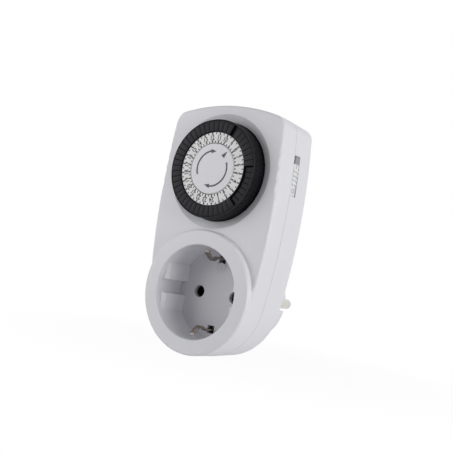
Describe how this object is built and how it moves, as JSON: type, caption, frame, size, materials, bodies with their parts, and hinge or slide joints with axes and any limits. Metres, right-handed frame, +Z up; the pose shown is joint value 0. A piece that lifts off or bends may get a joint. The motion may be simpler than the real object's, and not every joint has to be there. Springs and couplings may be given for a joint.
{
  "type": "plug in timer switch",
  "caption": "Plug in mechanical day timer with a pin socket in its face, a ring of push down segments round a number ring, a side slide switch and a plug behind.",
  "frame": {"origin": "centre of the plug's end face, between the two pins", "axes": "+Y along the pins into the wall, +Z up from the plug to the dial, +X to the side with the slide switch"},
  "size_m": [0.06, 0.0691, 0.1089],
  "materials": {
    "housing": "fine satin",
    "floor_plastic": "satin",
    "dial_black": "satin",
    "segment_black": "satin",
    "number_white": "printed",
    "disc_grey": "printed",
    "nylon": "natural",
    "plate": "moulded",
    "slider_grey": "satin",
    "steel": "plain",
    "motor_can": "drawn",
    "motor_plastic": "wound",
    "ferrite": "sintered",
    "contact_brass": "stamped",
    "pin_nickel": "nickel plated",
    "earth_metal": "spring temper",
    "lead": "insulated"
  },
  "bodies": {
    "case": {"front_shell": "housing", "back_shell": "housing", "socket_floor": "floor_plastic", "centre_cap": "disc_grey", "movement_plate": "plate", "case_screws": "steel", "dial_spindle": "steel", "steel_pins": "steel", "clutch_spring": "steel", "detent_spring": "steel", "motor_case": "motor_can", "motor_gearbox": "motor_plastic", "motor_coil": "motor_plastic", "fixed_contact": "contact_brass", "live_strip": "contact_brass", "neutral_strip": "contact_brass", "load_strip": "contact_brass", "live_receptacle": "contact_brass", "neutral_receptacle": "contact_brass", "live_pin": "pin_nickel", "neutral_pin": "pin_nickel", "earth_strip": "earth_metal", "plug_earth_strip": "earth_metal", "motor_leads": "lead"},
    "dial": {"dial_wheel": "dial_black", "number_ring": "number_white", "dial_gear": "nylon"},
    "lever": {"switch_lever": "nylon"},
    "slider": {"override_slider": "slider_grey"},
    "leaf": {"moving_contact": "contact_brass"},
    "rotor": {"motor_rotor": "ferrite"},
    "second": {"second_gear": "nylon"},
    "first": {"first_gear": "nylon"},
    "output": {"motor_pinion": "steel"},
    "pusher_01_a": {"pusher_01_a": "segment_black"},
    "pusher_01_b": {"pusher_01_b": "segment_black"},
    "pusher_pair_02": {"pusher_pair_02": "segment_black"},
    "pusher_pair_03": {"pusher_pair_03": "segment_black"},
    "pusher_pair_04": {"pusher_pair_04": "segment_black"},
    "pusher_05_a": {"pusher_05_a": "segment_black"},
    "pusher_05_b": {"pusher_05_b": "segment_black"},
    "pusher_pair_06": {"pusher_pair_06": "segment_black"},
    "pusher_pair_07": {"pusher_pair_07": "segment_black"},
    "pusher_pair_08": {"pusher_pair_08": "segment_black"},
    "pusher_pair_09": {"pusher_pair_09": "segment_black"},
    "pusher_pair_10": {"pusher_pair_10": "segment_black"},
    "pusher_pair_11": {"pusher_pair_11": "segment_black"},
    "pusher_pair_12": {"pusher_pair_12": "segment_black"},
    "pusher_pair_13": {"pusher_pair_13": "segment_black"},
    "pusher_pair_14": {"pusher_pair_14": "segment_black"},
    "pusher_pair_15": {"pusher_pair_15": "segment_black"},
    "pusher_pair_16": {"pusher_pair_16": "segment_black"},
    "pusher_pair_17": {"pusher_pair_17": "segment_black"},
    "pusher_pair_18": {"pusher_pair_18": "segment_black"},
    "pusher_pair_19": {"pusher_pair_19": "segment_black"},
    "pusher_pair_20": {"pusher_pair_20": "segment_black"},
    "pusher_pair_21": {"pusher_pair_21": "segment_black"},
    "pusher_pair_22": {"pusher_pair_22": "segment_black"},
    "pusher_pair_23": {"pusher_pair_23": "segment_black"},
    "pusher_pair_24": {"pusher_pair_24": "segment_black"}
  },
  "joints": [
    {"name": "dial_turn", "type": "hinge", "parent": "case", "child": "dial", "pos_m": [0, -0.04582, 0.05285], "axis": [0, 1, 0], "continuous": true},
    {"name": "override_slide", "type": "slide", "parent": "case", "child": "slider", "axis": [0, 0, -1], "range_m": [-0.0033, 0]},
    {"name": "lever_pivot", "type": "hinge", "parent": "case", "child": "lever", "pos_m": [0.0218, -0.0374, 0.06819], "axis": [0, 0, -1], "range_deg": [-6.55, 0]},
    {"name": "leaf_flex", "type": "hinge", "parent": "case", "child": "leaf", "pos_m": [0.01493, -0.0365, 0.05569], "axis": [-1, 0, 0], "range_deg": [-3.3, 0]},
    {"name": "rotor_turn", "type": "hinge", "parent": "case", "child": "rotor", "pos_m": [0.00387, -0.0265, 0.06485], "axis": [0, 1, 0], "continuous": true},
    {"name": "second_turn", "type": "hinge", "parent": "case", "child": "second", "pos_m": [-0.0109, -0.0375, 0.05914], "axis": [0, 1, 0], "continuous": true},
    {"name": "first_turn", "type": "hinge", "parent": "case", "child": "first", "pos_m": [-0.0056, -0.0349, 0.0683], "axis": [0, 1, 0], "continuous": true},
    {"name": "output_turn", "type": "hinge", "parent": "case", "child": "output", "pos_m": [0.00387, -0.0352, 0.06485], "axis": [0, 1, 0], "continuous": true},
    {"name": "push_01_a", "type": "slide", "parent": "dial", "child": "pusher_01_a", "axis": [0, 1, 0], "range_m": [-0.0012, 0]},
    {"name": "push_01_b", "type": "slide", "parent": "dial", "child": "pusher_01_b", "axis": [0, 1, 0], "range_m": [0, 0.0012]},
    {"name": "push_pair_02", "type": "slide", "parent": "dial", "child": "pusher_pair_02", "axis": [0, 1, 0], "range_m": [0, 0.0012]},
    {"name": "push_pair_03", "type": "slide", "parent": "dial", "child": "pusher_pair_03", "axis": [0, 1, 0], "range_m": [0, 0.0012]},
    {"name": "push_pair_04", "type": "slide", "parent": "dial", "child": "pusher_pair_04", "axis": [0, 1, 0], "range_m": [0, 0.0012]},
    {"name": "push_05_a", "type": "slide", "parent": "dial", "child": "pusher_05_a", "axis": [0, 1, 0], "range_m": [-0.0012, 0]},
    {"name": "push_05_b", "type": "slide", "parent": "dial", "child": "pusher_05_b", "axis": [0, 1, 0], "range_m": [0, 0.0012]},
    {"name": "push_pair_06", "type": "slide", "parent": "dial", "child": "pusher_pair_06", "axis": [0, 1, 0], "range_m": [0, 0.0012]},
    {"name": "push_pair_07", "type": "slide", "parent": "dial", "child": "pusher_pair_07", "axis": [0, 1, 0], "range_m": [0, 0.0012]},
    {"name": "push_pair_08", "type": "slide", "parent": "dial", "child": "pusher_pair_08", "axis": [0, 1, 0], "range_m": [0, 0.0012]},
    {"name": "push_pair_09", "type": "slide", "parent": "dial", "child": "pusher_pair_09", "axis": [0, 1, 0], "range_m": [0, 0.0012]},
    {"name": "push_pair_10", "type": "slide", "parent": "dial", "child": "pusher_pair_10", "axis": [0, 1, 0], "range_m": [0, 0.0012]},
    {"name": "push_pair_11", "type": "slide", "parent": "dial", "child": "pusher_pair_11", "axis": [0, 1, 0], "range_m": [0, 0.0012]},
    {"name": "push_pair_12", "type": "slide", "parent": "dial", "child": "pusher_pair_12", "axis": [0, 1, 0], "range_m": [0, 0.0012]},
    {"name": "push_pair_13", "type": "slide", "parent": "dial", "child": "pusher_pair_13", "axis": [0, 1, 0], "range_m": [0, 0.0012]},
    {"name": "push_pair_14", "type": "slide", "parent": "dial", "child": "pusher_pair_14", "axis": [0, 1, 0], "range_m": [0, 0.0012]},
    {"name": "push_pair_15", "type": "slide", "parent": "dial", "child": "pusher_pair_15", "axis": [0, 1, 0], "range_m": [0, 0.0012]},
    {"name": "push_pair_16", "type": "slide", "parent": "dial", "child": "pusher_pair_16", "axis": [0, 1, 0], "range_m": [0, 0.0012]},
    {"name": "push_pair_17", "type": "slide", "parent": "dial", "child": "pusher_pair_17", "axis": [0, 1, 0], "range_m": [0, 0.0012]},
    {"name": "push_pair_18", "type": "slide", "parent": "dial", "child": "pusher_pair_18", "axis": [0, 1, 0], "range_m": [0, 0.0012]},
    {"name": "push_pair_19", "type": "slide", "parent": "dial", "child": "pusher_pair_19", "axis": [0, 1, 0], "range_m": [0, 0.0012]},
    {"name": "push_pair_20", "type": "slide", "parent": "dial", "child": "pusher_pair_20", "axis": [0, 1, 0], "range_m": [0, 0.0012]},
    {"name": "push_pair_21", "type": "slide", "parent": "dial", "child": "pusher_pair_21", "axis": [0, 1, 0], "range_m": [0, 0.0012]},
    {"name": "push_pair_22", "type": "slide", "parent": "dial", "child": "pusher_pair_22", "axis": [0, 1, 0], "range_m": [-0.0012, 0]},
    {"name": "push_pair_23", "type": "slide", "parent": "dial", "child": "pusher_pair_23", "axis": [0, 1, 0], "range_m": [-0.0012, 0]},
    {"name": "push_pair_24", "type": "slide", "parent": "dial", "child": "pusher_pair_24", "axis": [0, 1, 0], "range_m": [-0.0012, 0]}
  ],
  "couplings": [
    {"joint": "second_turn", "follows": "dial_turn", "ratio": -4},
    {"joint": "first_turn", "follows": "dial_turn", "ratio": 12.8},
    {"joint": "output_turn", "follows": "dial_turn", "ratio": -38.4},
    {"joint": "lever_pivot", "follows": "override_slide", "rad_per_m": 34.378},
    {"joint": "leaf_flex", "follows": "override_slide", "rad_per_m": 17.189}
  ]
}
